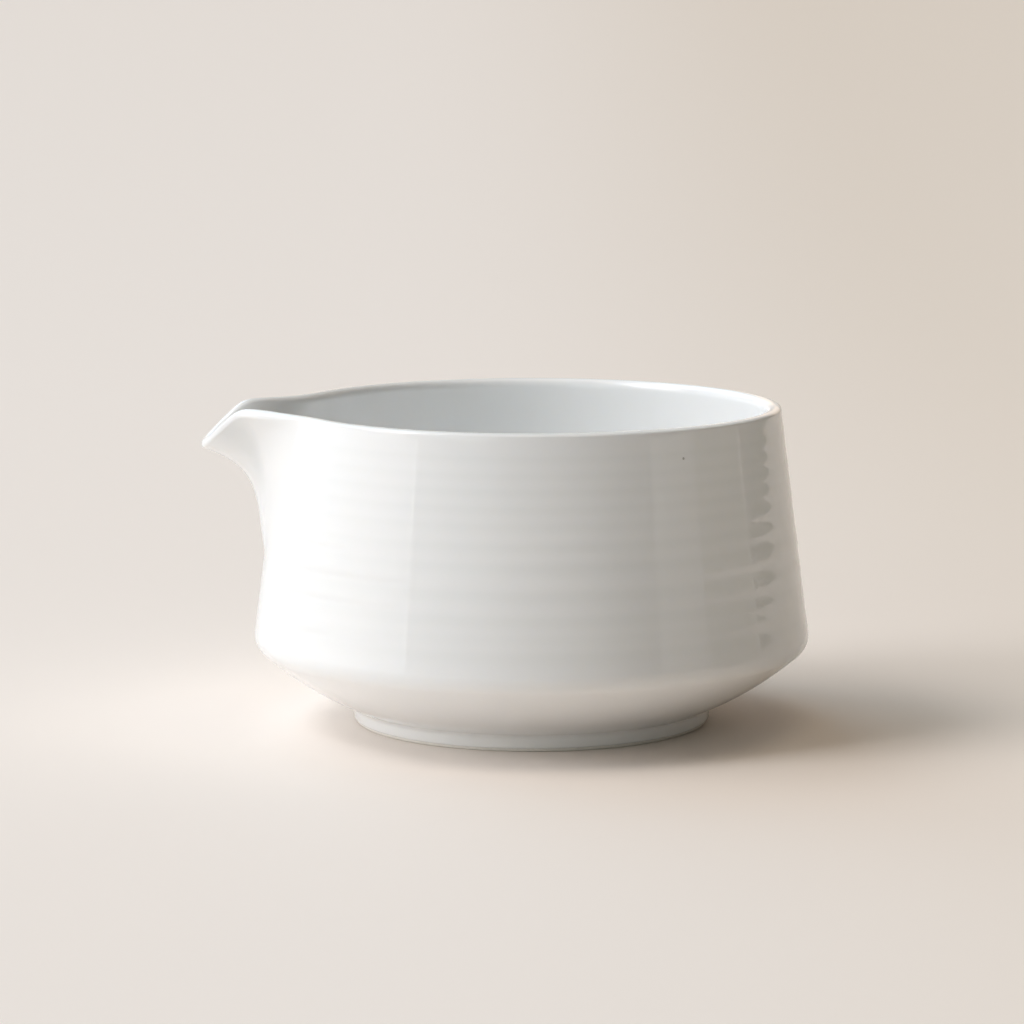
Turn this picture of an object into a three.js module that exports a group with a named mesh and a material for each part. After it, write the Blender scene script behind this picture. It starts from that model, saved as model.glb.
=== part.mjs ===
// Spouted serving bowl (katakuchi) in white glazed porcelain.
// A thrown and turned bowl stands on a turned foot ring, and a beak is luted over a notch in its wall.
// Glaze covers the outside, the inside and the well of the foot. The foot stands bare on z = 0.
// Millimetres, +Z up. The beak points to -X, and the origin is the bottom centre of the whole bowl's box.

import * as THREE from 'three';

// Thrown bowl
const bodyRadius = 60;
const rimHeight = 68.6;
const wallThickness = 3.4;
const wallLean = THREE.MathUtils.degToRad(7.37);
const shoulderHeight = 19.1;
const shoulderRounding = 4.4;
const undersideRounding = 72;
const lipOuterRounding = 0.9;
const lipInnerRounding = 1.9;
const floorThickness = 4.6;
const floorRadius = 29;
const innerCornerRounding = 9;
const innerCornerLift = 4.5;
const glazeThickness = 0.4;

// Foot
const footRadius = 38.6;
const footWidth = 5;
const footHeight = 2.65;
const footFillet = 1.2;
const wellDepth = 1.8;
const bareFootHeight = 0.7;
const footChamfer = 0.5;

// Beak: its middle surface, in plan and in profile
const beakOverhang = 17.5;
const beakNoseRadius = 7.7;
const beakFilletRadius = 48;
const beakLipThickness = 2.5;
const beakTipDrop = 6.35;
const beakRise = 0.7;
const beakCornerSoftness = 0.5;
const beakRootHeight = 36;
const beakRootSoftness = 0.5;
const keelRootLength = 11.3;
const keelRootFlare = THREE.MathUtils.degToRad(12.5);
const keelTipLength = 14;
const keelTipFall = THREE.MathUtils.degToRad(18.6);

// Facets
const noseColumns = 5;
const filletColumns = 5;
const rimColumns = 15;
const lipSegments = 3;
const filletSegments = 2;
const arcSegments = 4;
const cornerSegments = 5;
const beakRows = [0, 0.15, 0.3, 0.45, 0.58, 0.7, 0.8, 0.9];

const halfWall = wallThickness / 2;
const floorHeight = wellDepth + floorThickness;
const wallTangent = Math.tan(wallLean);
const shoulderCentre = new THREE.Vector2(bodyRadius - shoulderRounding, shoulderHeight);
const lipCentreHeight = rimHeight - lipInnerRounding;
const rimRadius = wallRadius(lipCentreHeight);

// The beak's outline in plan is an arc for the nose, then a fillet tangent to it and to the rim circle
const beakReach = rimRadius + beakOverhang;
const noseCentre = beakReach - beakNoseRadius;
const filletCentre = circleCrossing(
  new THREE.Vector2(0, 0),
  rimRadius + beakFilletRadius,
  new THREE.Vector2(noseCentre, 0),
  beakNoseRadius + beakFilletRadius,
);
const filletAngle = Math.atan2(filletCentre.y, filletCentre.x);
const noseEndAngle = Math.atan2(filletCentre.y, filletCentre.x - noseCentre);

// The keel's middle line runs from the beak's root on the wall to its tip
const keelRoot = new THREE.Vector2(wallRadius(beakRootHeight), beakRootHeight);
const keelTip = new THREE.Vector2(beakReach, lipHeight(beakReach));
const keel = new THREE.CubicBezierCurve(
  keelRoot,
  new THREE.Vector2(
    keelRoot.x + keelRootLength * Math.sin(keelRootFlare),
    keelRoot.y + keelRootLength * Math.cos(keelRootFlare),
  ),
  new THREE.Vector2(
    keelTip.x - keelTipLength * Math.cos(keelTipFall),
    keelTip.y - keelTipLength * Math.sin(keelTipFall),
  ),
  keelTip,
);

// Radius of the wall's middle surface at a height, on the plain cone
function wallRadius(height) {
  const tangentRadius = shoulderCentre.x + shoulderRounding * Math.cos(wallLean);
  const tangentHeight = shoulderCentre.y + shoulderRounding * Math.sin(wallLean);
  return tangentRadius - wallTangent * (height - tangentHeight) - halfWall / Math.cos(wallLean);
}

// Where two circles cross, on the left of the line from the first centre to the second
function circleCrossing(centre, radius, otherCentre, otherRadius) {
  const line = otherCentre.clone().sub(centre);
  const along = (line.lengthSq() + radius ** 2 - otherRadius ** 2) / (2 * line.length());
  const aside = Math.sqrt(radius ** 2 - along ** 2);
  line.normalize();
  return new THREE.Vector2(
    centre.x + line.x * along - line.y * aside,
    centre.y + line.y * along + line.x * aside,
  );
}

// Point of the lip's centre line in plan, as angle from the beak and distance from the axis.
// The station runs 0 to 1 over the nose, 1 to 2 over the fillet and 2 to 3 round the rim.
function lipPlan(station) {
  const side = Math.sign(station);
  const run = Math.abs(station);
  let x;
  let y;
  if (run <= 1) {
    const angle = noseEndAngle * run;
    x = noseCentre + beakNoseRadius * Math.cos(angle);
    y = beakNoseRadius * Math.sin(angle);
  } else if (run <= 2) {
    const start = noseEndAngle + Math.PI;
    const end = filletAngle + Math.PI;
    const angle = THREE.MathUtils.lerp(start, end, run - 1);
    x = filletCentre.x + beakFilletRadius * Math.cos(angle);
    y = filletCentre.y + beakFilletRadius * Math.sin(angle);
  } else {
    const angle = THREE.MathUtils.lerp(filletAngle, Math.PI, run - 2);
    x = rimRadius * Math.cos(angle);
    y = rimRadius * Math.sin(angle);
  }
  return { angle: side * Math.atan2(y, x), reach: Math.hypot(x, y) };
}

function smoothMaximum(a, b, softness) {
  return (a + b) / 2 + Math.hypot((a - b) / 2, softness);
}

// The lip rises a little towards the beak and falls at 45 degrees to its tip
function lipHeight(reach) {
  const along = THREE.MathUtils.smoothstep(reach, rimRadius, noseCentre);
  const level = lipCentreHeight + beakRise * along;
  const cut = lipCentreHeight - beakTipDrop + (beakReach - reach);
  return -smoothMaximum(-level, -cut, beakCornerSoftness) + beakCornerSoftness ** 2 / (2 * beakTipDrop);
}

// How far the keel has come from root to tip, outwards from the cone and upwards, each as a share.
// It leaves the wall softly.
function keelShares(rise) {
  const point = keel.getPoint(rise);
  const soften = (distance) => Math.hypot(distance, beakRootSoftness) - beakRootSoftness;
  const standOut = (at) => soften(at.x - wallRadius(at.y));
  return {
    outward: standOut(point) / standOut(keelTip),
    upward: (point.y - keelRoot.y) / (keelTip.y - keelRoot.y),
  };
}

// Middle surface of the wall above the beak's root: rise 0 at the root, 1 at the lip's centre line
function wallPoint(station, rise) {
  const { angle, reach } = lipPlan(station);
  const { outward, upward } = keelShares(rise);
  const top = lipHeight(reach);
  const height = THREE.MathUtils.lerp(beakRootHeight, top, upward);
  const radius = wallRadius(height) + (reach - wallRadius(top)) * outward;
  return new THREE.Vector3(-radius * Math.cos(angle), -radius * Math.sin(angle), height);
}

// Outward normal of the middle surface, and the direction that carries the wall on upwards
function wallFrame(station, rise) {
  const step = 1e-3;
  const lower = Math.max(rise - step, 0);
  const upper = Math.min(rise + step, 1);
  const along = wallPoint(station + step, rise).sub(wallPoint(station - step, rise)).normalize();
  const up = wallPoint(station, upper).sub(wallPoint(station, lower)).normalize();
  const normal = new THREE.Vector3().crossVectors(along, up).normalize();
  return { normal, onward: new THREE.Vector3().crossVectors(normal, along).normalize() };
}

// Half the wall's thickness, which thins along the beak's lip
function halfThickness(station, rise) {
  const { reach } = lipPlan(station);
  const share = THREE.MathUtils.clamp((reach - rimRadius) / (beakReach - rimRadius), 0, 1);
  return THREE.MathUtils.lerp(halfWall, beakLipThickness / 2, share * rise);
}

// Columns from the beak's middle round the bowl and back, as stations
function columnStations() {
  const half = [];
  for (let i = 0; i < noseColumns; i += 1) half.push(i / noseColumns);
  for (let i = 0; i < filletColumns; i += 1) half.push(1 + i / filletColumns);
  for (let i = 0; i < rimColumns; i += 1) half.push(2 + i / rimColumns);
  const back = half.slice(1).reverse().map((station) => -station);
  return [...half, 3, ...back];
}

const stations = columnStations();
const beakEdge = noseColumns + filletColumns;

// A row is the ring of points that one level of a surface has, one point for each column
function turnedRow(radius, height) {
  return stations.map((station) => {
    const { angle } = lipPlan(station);
    return new THREE.Vector3(-radius * Math.cos(angle), -radius * Math.sin(angle), height);
  });
}

function wallRow(rise, depthOf) {
  return stations.map((station) => {
    const { normal } = wallFrame(station, rise);
    return wallPoint(station, rise).addScaledVector(normal, depthOf(halfThickness(station, rise)));
  });
}

// The lip's section is a quarter ellipse on each side of the crest, wide inside and tight outside.
// The side is 1 outside and -1 inside, and the turn runs from the wall at 0 to the crest at 90 degrees.
function lipRow(side, turn, inset) {
  return stations.map((station) => {
    const { normal, onward } = wallFrame(station, 1);
    const half = halfThickness(station, 1);
    const crest = (lipInnerRounding * half) / halfWall;
    const rounding = side > 0 ? lipOuterRounding : crest;
    return wallPoint(station, 1)
      .addScaledVector(normal, side * (half - inset) * Math.cos(turn))
      .addScaledVector(onward, crest - rounding + (rounding - inset) * Math.sin(turn));
  });
}

function arcPoints(centre, radius, from, to, segments) {
  const points = [];
  for (let i = 0; i <= segments; i += 1) {
    const angle = THREE.MathUtils.lerp(from, to, i / segments);
    points.push(new THREE.Vector2(centre.x + radius * Math.cos(angle), centre.y + radius * Math.sin(angle)));
  }
  return points;
}

// Outer profile of the turned part from the foot up to the beak's root, at a depth under the glazed skin
function outerProfile(depth) {
  const filletCorner = new THREE.Vector2(footRadius + footFillet, footHeight);
  const belly = circleCrossing(
    filletCorner,
    undersideRounding + footFillet,
    shoulderCentre,
    undersideRounding - shoulderRounding,
  );
  const start = filletCorner.clone().sub(belly).angle() - 2 * Math.PI;
  const end = shoulderCentre.clone().sub(belly).angle() - 2 * Math.PI;
  const fillet = arcPoints(filletCorner, footFillet + depth, Math.PI, start + Math.PI, filletSegments);
  const underside = arcPoints(belly, undersideRounding - depth, start, end, arcSegments);
  const shoulder = arcPoints(shoulderCentre, shoulderRounding - depth, end, wallLean, arcSegments);
  return [...fillet, ...underside.slice(1), ...shoulder.slice(1)];
}

// Inner profile from below the beak's root down to the flat of the floor, at a depth under the glazed skin.
// The corner's arc runs into a wider one that ends level with the floor.
function innerProfile(depth) {
  const cornerHeight = shoulderHeight + innerCornerLift;
  const wallFace = wallRadius(cornerHeight) - halfWall / Math.cos(wallLean);
  const corner = new THREE.Vector2(wallFace - innerCornerRounding / Math.cos(wallLean), cornerHeight);
  const across = corner.x - floorRadius;
  const above = corner.y - floorHeight;
  const spread = across ** 2 + above ** 2 - innerCornerRounding ** 2;
  const dishRounding = spread / (2 * (above - innerCornerRounding));
  const dish = new THREE.Vector2(floorRadius, floorHeight + dishRounding);
  const turn = corner.clone().sub(dish).angle() - 2 * Math.PI;
  const upper = arcPoints(corner, innerCornerRounding + depth, wallLean, turn, cornerSegments);
  const lower = arcPoints(dish, dishRounding + depth, turn, -Math.PI / 2, cornerSegments);
  return [...upper, ...lower.slice(1)];
}

// Rows of the outer or inner face, from the foot or the floor to just below the crest
function faceRows(side, inset) {
  const profile = side > 0 ? outerProfile(inset) : innerProfile(inset).reverse();
  const turned = profile.map((point) => turnedRow(point.x, point.y));
  const walls = beakRows.map((rise) => wallRow(rise, (half) => side * (half - inset)));
  const lip = [];
  for (let i = 0; i < lipSegments; i += 1) lip.push(lipRow(side, (i / lipSegments) * Math.PI / 2, inset));
  return { turned, walls, lip };
}

function coatRows(inset) {
  return { outer: faceRows(1, inset), inner: faceRows(-1, inset), crest: lipRow(1, Math.PI / 2, inset) };
}

const skin = coatRows(0);
const clay = coatRows(glazeThickness);

// Faces are gathered as triangles of points and made into one indexed mesh for each piece
class Facets {
  constructor() {
    this.positions = [];
  }

  triangle(a, b, c) {
    this.positions.push(...a.toArray(), ...b.toArray(), ...c.toArray());
  }

  // Split along the shorter diagonal, so that two pieces that share four points share both triangles
  quad(a, b, c, d) {
    if (a.distanceToSquared(c) <= b.distanceToSquared(d)) {
      this.triangle(a, b, c);
      this.triangle(a, c, d);
    } else {
      this.triangle(a, b, d);
      this.triangle(b, c, d);
    }
  }

  // Joins two rows, the second one further along the section; columns in the gap are left open
  join(row, next, open = () => false) {
    row.forEach((point, column) => {
      const after = (column + 1) % row.length;
      if (!open(column)) this.quad(point, row[after], next[after], next[column]);
    });
  }

  chain(rows) {
    for (let i = 0; i + 1 < rows.length; i += 1) this.join(rows[i], rows[i + 1]);
  }

  pole(point, row, facingUp) {
    row.forEach((corner, column) => {
      const after = row[(column + 1) % row.length];
      if (facingUp) this.triangle(point, corner, after);
      else this.triangle(point, after, corner);
    });
  }

  mesh(name, material) {
    const geometry = new THREE.BufferGeometry();
    geometry.setAttribute('position', new THREE.Float32BufferAttribute(this.positions, 3));
    geometry.computeVertexNormals();
    const piece = new THREE.Mesh(geometry, material);
    piece.name = name;
    return piece;
  }
}

const onAxis = (height) => new THREE.Vector3(0, 0, height);
const isBeak = (column) => column < beakEdge || column >= stations.length - beakEdge;

// Where the foot ring meets the bowl's underside
const seatHeight = wellDepth + glazeThickness;
const claySide = footRadius - glazeThickness;
const wellRadius = footRadius - footWidth;
const seatRow = turnedRow(claySide, seatHeight);

function outerGlaze(material) {
  const facets = new Facets();
  const footSkin = [turnedRow(footRadius, bareFootHeight), turnedRow(footRadius, seatHeight)];
  const footClay = [turnedRow(claySide, bareFootHeight), seatRow];
  const out = [...footSkin, ...skin.outer.turned, ...skin.outer.walls, ...skin.outer.lip, skin.crest];
  const back = [...footClay, ...clay.outer.turned, ...clay.outer.walls, ...clay.outer.lip, clay.crest];
  facets.chain([...out, ...back.reverse(), out[0]]);
  return facets.mesh('outer_glaze', material);
}

function innerGlaze(material) {
  const facets = new Facets();
  const face = [...skin.inner.turned, ...skin.inner.walls, ...skin.inner.lip, skin.crest];
  const back = [...clay.inner.turned, ...clay.inner.walls, ...clay.inner.lip, clay.crest];
  facets.pole(onAxis(floorHeight - glazeThickness), back[0], false);
  facets.chain([...back, ...face.reverse()]);
  facets.pole(onAxis(floorHeight), face[face.length - 1], true);
  return facets.mesh('inner_glaze', material);
}

const beakOuter = [...clay.outer.walls, ...clay.outer.lip, clay.crest];
const beakInner = [...clay.inner.walls, ...clay.inner.lip, clay.crest];

// The three faces of the notch in the bowl's wall, which the beak's edge is luted to
function notchFaces(facets, facing) {
  const add = (a, b, c, d) => (facing ? facets.quad(a, b, c, d) : facets.quad(d, c, b, a));
  const last = beakOuter.length - 1;
  const far = stations.length - beakEdge;
  for (let i = 0; i < last; i += 1) {
    const nearSide = [beakOuter[i], beakInner[i], beakInner[i + 1], beakOuter[i + 1]];
    if (i === last - 1) {
      const [a, b, c] = nearSide.map((row) => row[beakEdge]);
      const [d, e, f] = nearSide.map((row) => row[far]);
      if (facing) {
        facets.triangle(a, c, b);
        facets.triangle(d, e, f);
      } else {
        facets.triangle(a, b, c);
        facets.triangle(d, f, e);
      }
    } else {
      add(...nearSide.map((row) => row[beakEdge]).reverse());
      add(...nearSide.map((row) => row[far]));
    }
  }
  for (let column = far; column < stations.length + beakEdge; column += 1) {
    const here = column % stations.length;
    const after = (column + 1) % stations.length;
    add(beakOuter[0][here], beakOuter[0][after], beakInner[0][after], beakInner[0][here]);
  }
}

function bowlBody(material) {
  const facets = new Facets();
  const outerLow = [seatRow, ...clay.outer.turned, clay.outer.walls[0]];
  const innerLow = [clay.inner.walls[0], ...clay.inner.turned.slice().reverse()];
  facets.pole(onAxis(seatHeight), seatRow, false);
  facets.chain(outerLow);
  facets.chain(innerLow);
  facets.pole(onAxis(floorHeight - glazeThickness), innerLow[innerLow.length - 1], true);
  for (let i = 0; i + 1 < beakOuter.length; i += 1) {
    facets.join(beakOuter[i], beakOuter[i + 1], isBeak);
    facets.join(beakInner[i + 1], beakInner[i], isBeak);
  }
  notchFaces(facets, true);
  return facets.mesh('bowl_body', material);
}

function spout(material) {
  const facets = new Facets();
  const outside = (column) => !isBeak(column);
  for (let i = 0; i + 1 < beakOuter.length; i += 1) {
    facets.join(beakOuter[i], beakOuter[i + 1], outside);
    facets.join(beakInner[i + 1], beakInner[i], outside);
  }
  notchFaces(facets, false);
  return facets.mesh('spout', material);
}

function footRing(material) {
  const facets = new Facets();
  const section = [
    turnedRow(wellRadius + footChamfer, 0),
    turnedRow(claySide - footChamfer, 0),
    turnedRow(claySide, footChamfer),
    turnedRow(claySide, bareFootHeight),
    seatRow,
    turnedRow(wellRadius, seatHeight),
    turnedRow(wellRadius, bareFootHeight),
    turnedRow(wellRadius, footChamfer),
  ];
  facets.chain([...section, section[0]]);
  return facets.mesh('foot_ring', material);
}

function footWellGlaze(material) {
  const facets = new Facets();
  const inside = wellRadius - glazeThickness;
  const back = [turnedRow(wellRadius, seatHeight), turnedRow(wellRadius, bareFootHeight)];
  const face = [turnedRow(inside, bareFootHeight), turnedRow(inside, wellDepth)];
  facets.pole(onAxis(wellDepth), face[1], false);
  facets.chain([...back, ...face].reverse());
  facets.pole(onAxis(seatHeight), back[0], true);
  return facets.mesh('foot_well_glaze', material);
}

const glaze = new THREE.MeshStandardMaterial({ color: '#eceeeb', roughness: 0.08, metalness: 0 });
const liner = new THREE.MeshStandardMaterial({ color: '#eef0ee', roughness: 0.08, metalness: 0 });
const porcelain = new THREE.MeshStandardMaterial({ color: '#efe9de', roughness: 0.75, metalness: 0 });

const bowl = new THREE.Group();
bowl.add(
  bowlBody(porcelain),
  spout(porcelain),
  footRing(porcelain),
  outerGlaze(glaze),
  innerGlaze(liner),
  footWellGlaze(glaze),
);
bowl.position.x = (beakReach + beakLipThickness / 2 - bodyRadius) / 2;

export default bowl;
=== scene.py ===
"""Spouted bowl in white glazed porcelain, standing on a pale table by a window."""

import math
from collections import namedtuple

import bpy
import numpy as np
from bpy.props import FloatProperty, FloatVectorProperty, PointerProperty
from bpy.types import Operator, Panel, PropertyGroup
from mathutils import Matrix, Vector


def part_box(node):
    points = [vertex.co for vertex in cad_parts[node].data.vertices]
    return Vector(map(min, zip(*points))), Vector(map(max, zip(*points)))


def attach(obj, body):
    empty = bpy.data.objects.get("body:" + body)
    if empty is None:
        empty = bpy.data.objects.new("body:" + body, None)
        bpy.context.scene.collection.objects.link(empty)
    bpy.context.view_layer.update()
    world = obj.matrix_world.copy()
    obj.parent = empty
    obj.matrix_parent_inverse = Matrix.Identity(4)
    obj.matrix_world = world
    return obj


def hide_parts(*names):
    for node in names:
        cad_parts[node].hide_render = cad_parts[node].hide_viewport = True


bl_info = {
    "name": "Spouted Bowl",
    "version": (1, 0, 0),
    "blender": (4, 5, 0),
    "location": "View3D > Sidebar > Bowl",
    "description": "Makes a glazed porcelain bowl with a beak, and the table and window light around it",
    "category": "Add Mesh",
}

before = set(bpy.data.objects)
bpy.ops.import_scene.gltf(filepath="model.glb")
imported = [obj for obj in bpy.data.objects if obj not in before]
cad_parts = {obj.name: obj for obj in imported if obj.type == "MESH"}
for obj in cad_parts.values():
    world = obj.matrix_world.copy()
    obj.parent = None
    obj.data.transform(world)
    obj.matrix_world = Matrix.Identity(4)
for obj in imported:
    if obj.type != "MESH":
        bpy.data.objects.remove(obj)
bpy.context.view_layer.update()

MM = 0.001
BODY = "root"
foot_low, foot_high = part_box("foot_ring")
AXIS_X = (foot_low.x + foot_high.x) / 2

# How finely the surfaces are divided
NOSE_COLUMNS = 20
FILLET_COLUMNS = 24
RIM_COLUMNS = 110
WALL_ROWS = 110
LIP_ROWS = 16
ARC_ROWS = 12
BELLY_ROWS = 24
CONE_ROWS = 50
BEND_ROWS = 24
EDGE_ROWS = 6

# Step along a surface over which its normal is measured, and the angle from which an edge stays sharp
NORMAL_STEP = 1e-4
SHARP_EDGE = math.radians(40)

# Glaze: light that scatters in it, clouds where the coat is a little thicker, and fine ripples on top
GLAZE_IOR = 1.5
GLOW = 0.12
GLOW_COLOUR = (1.0, 0.8, 0.6)
GLOW_DEPTH = 1.2 * MM
CLOUD_SCALE = 38
CLOUD_DETAIL = 4
CLOUD_START = 0.4
CLOUD_END = 0.75
CLOUD_SHARE = 0.35
RIPPLE_SCALE = 190
RIPPLE_DETAIL = 2
RIPPLE_STRENGTH = 0.05
RIPPLE_HEIGHT = 0.2 * MM

# Bare clay: fine grain, with slightly darker grains
GRAIN_SCALE = 1400
GRAIN_DETAIL = 3
GRAIN_DARKNESS = 0.9
GRAIN_STRENGTH = 0.4
GRAIN_HEIGHT = 0.05 * MM

TABLE_SHEEN = 0.2

# Width of the camera's sensor in mm
SENSOR_WIDTH = 36

# A bright panel of the room. Angles are in degrees: azimuth from the camera's side round to the left,
# elevation from level. The radiance is red, green and blue.
LightPanel = namedtuple("LightPanel", "name right left low high softness radiance")

PANELS = (
    LightPanel("window", 57, 84, 20, 40, 3, (5.9, 6.2, 6.6)),
    LightPanel("window sill", 60, 84, 8, 20, 2, (3.3, 2.95, 2.85)),
    LightPanel("beside the window", 18, 54, 10, 22, 5, (1.55, 1.85, 1.85)),
    LightPanel("above the window", 60, 120, 42, 62, 6, (5.9, 5.8, 5.8)),
    LightPanel("ceiling behind, left", 120, 170, 20, 60, 6, (1.3, 1.75, 2.15)),
    LightPanel("ceiling behind, right", 190, 240, 20, 60, 6, (0.52, 0.46, 0.4)),
    LightPanel("ceiling", -180, 180, 68, 95, 6, (1.25, 1.08, 0.86)),
    LightPanel("wall behind", 150, 210, -6, 18, 4, (1.2, 0.97, 0.78)),
    LightPanel("low card", 54.5, 150, -6, 7, 0.3, (1.35, 1.35, 1.38)),
    LightPanel("edge of the low card", 54, 55.2, -6, 7, 0.2, (0.7, 0.7, 0.7)),
    LightPanel("floor in front", -30, 54.5, -6, 6, 2.5, (0.5, 0.49, 0.47)),
    LightPanel("floor in front, right", -53, -30, -6, 6, 2.5, (0.2, 0.2, 0.19)),
    LightPanel("right pane", -75.8, -53, -6, 8, 0.3, (0.74, 0.73, 0.69)),
    LightPanel("far right pane", -104.8, -75.8, -6, 8, 0.2, (0.34, 0.34, 0.26)),
    LightPanel("far right gap", -106, -104.8, -6, 8, 0.2, (0.9, 0.86, 0.78)),
    LightPanel("dark pane", -150, -106, -6, 8, 0.2, (0.12, 0.13, 0.08)),
)

# Throwing rings: height above the table in mm, share of the full depth, and share of the full tone, which is
# glaze gathered in the ring plus painted shade of its relief
RINGS = (
    (64.6, 0.25, 0.8),
    (61.1, 0.35, 0.7),
    (57.9, 0.4, 0.9),
    (54.4, 0.4, 0.9),
    (50.9, 0.5, 0.8),
    (46.8, 0.8, 1.0),
    (42.7, 1.0, 1.0),
    (37.0, 1.3, 1.2),
    (32.0, 1.3, 1.2),
    (28.2, 0.8, 0.7),
    (24.7, 1.0, 1.0),
)


def length_property(name, description, default):
    return FloatProperty(name=name, description=description, default=default, unit="LENGTH")


def angle_property(name, description, degrees):
    return FloatProperty(name=name, description=description, default=math.radians(degrees), unit="ROTATION")


def share_property(name, description, default):
    return FloatProperty(name=name, description=description, default=default)


def colour_property(name, description, default):
    return FloatVectorProperty(name=name, description=description, default=default, subtype="COLOR", size=3)


class BowlSizes(PropertyGroup):
    """Sizes of the fired bowl"""

    body_radius: length_property("Body radius", "Radius at the shoulder, the widest ring", 60 * MM)
    rim_height: length_property("Rim height", "Height of the level lip", 68.6 * MM)
    wall: length_property("Wall", "Thickness of the wall", 3.4 * MM)
    wall_lean: angle_property("Wall lean", "How far the wall leans in", 7.37)
    shoulder_height: length_property("Shoulder height", "Height of the widest ring", 19.1 * MM)
    shoulder_rounding: length_property("Shoulder rounding", "Radius of the shoulder's edge", 4.4 * MM)
    underside_rounding: length_property("Underside rounding", "Radius of the underside's belly", 72 * MM)
    lip_outer: length_property("Outer lip rounding", "Height of the lip's tight outer side", 0.9 * MM)
    lip_inner: length_property("Inner lip rounding", "Height of the lip's wide inner side", 1.9 * MM)
    floor: length_property("Floor", "Thickness of the floor", 4.6 * MM)
    floor_radius: length_property("Floor radius", "Radius of the flat of the floor", 29 * MM)
    inner_corner: length_property("Inner corner", "Rounding below the inner wall", 9 * MM)
    corner_lift: length_property("Corner lift", "Inner corner's centre above the shoulder", 4.5 * MM)
    glaze: length_property("Glaze", "Thickness of the glaze coat", 0.4 * MM)
    foot_radius: length_property("Foot radius", "Outer radius of the foot", 38.6 * MM)
    foot_width: length_property("Foot width", "Width of the foot ring", 5 * MM)
    foot_height: length_property("Foot height", "Height of the foot's outer side", 2.65 * MM)
    foot_fillet: length_property("Foot fillet", "Hollow between foot and underside", 1.2 * MM)
    well_depth: length_property("Well depth", "Depth of the hollow in the foot", 1.8 * MM)
    well_rounding: length_property("Well rounding", "Rounding in the corner of that hollow", 1.2 * MM)
    bare_height: length_property("Bare height", "Height of the foot's unglazed edge", 0.7 * MM)
    foot_rounding: length_property("Foot rounding", "Rounding of the foot's edges", 0.5 * MM)


class BeakSizes(PropertyGroup):
    """Sizes of the beak, taken on the middle of its wall"""

    overhang: length_property("Overhang", "Rim to the tip's lip", 17.5 * MM)
    nose: length_property("Nose", "Radius of the beak in plan", 7.7 * MM)
    fillet: length_property("Fillet", "Radius in plan where the beak leaves the rim", 48 * MM)
    lip: length_property("Lip", "Thickness of the lip at the tip", 2.5 * MM)
    drop: length_property("Drop", "How far the tip is below the rim", 6.35 * MM)
    rise: length_property("Rise", "How far the lip rises before the tip", 0.7 * MM)
    corner: length_property("Corner", "Softness of the corner before the tip", 0.5 * MM)
    root_height: length_property("Root height", "Height where the beak leaves the wall", 36 * MM)
    root_softness: length_property("Root softness", "How softly it leaves the wall", 0.5 * MM)
    root_length: length_property("Root length", "Pull of the keel's lower handle", 11.3 * MM)
    root_flare: angle_property("Root flare", "Keel's angle from upright, low down", 12.5)
    tip_length: length_property("Tip length", "Pull of the keel's upper handle", 14 * MM)
    tip_fall: angle_property("Tip fall", "Keel's angle from level, at the tip", 18.6)


class ThrowingRings(PropertyGroup):
    """Rings that the potter's fingers leave in the wall"""

    depth: length_property("Depth", "Depth of a ring", 0.075 * MM)
    width_top: length_property("Width at the top", "Half width of a ring at the rim", 1.1 * MM)
    widening: share_property("Widening", "Growth of the half width per length down", 0.022)
    skew: share_property("Skew", "Share added to a ring's width below its middle and taken off above", 0.3)
    # The sag and width place a ring's tinted line: glaze gathered in the ring, darkened further as painted
    # shade of the ring's relief
    glaze_and_shade_sag: length_property("Glaze sag", "How far below a ring's middle the glaze is thickest", 1.0 * MM)
    glaze_and_shade_width: share_property("Glaze width", "Width of the gathered glaze, as a share of the ring's", 0.7)
    beak_start: angle_property("Beak start", "Angle from the beak where rings begin", 18)
    beak_end: angle_property("Beak end", "Angle from the beak where rings are full", 42)


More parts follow.
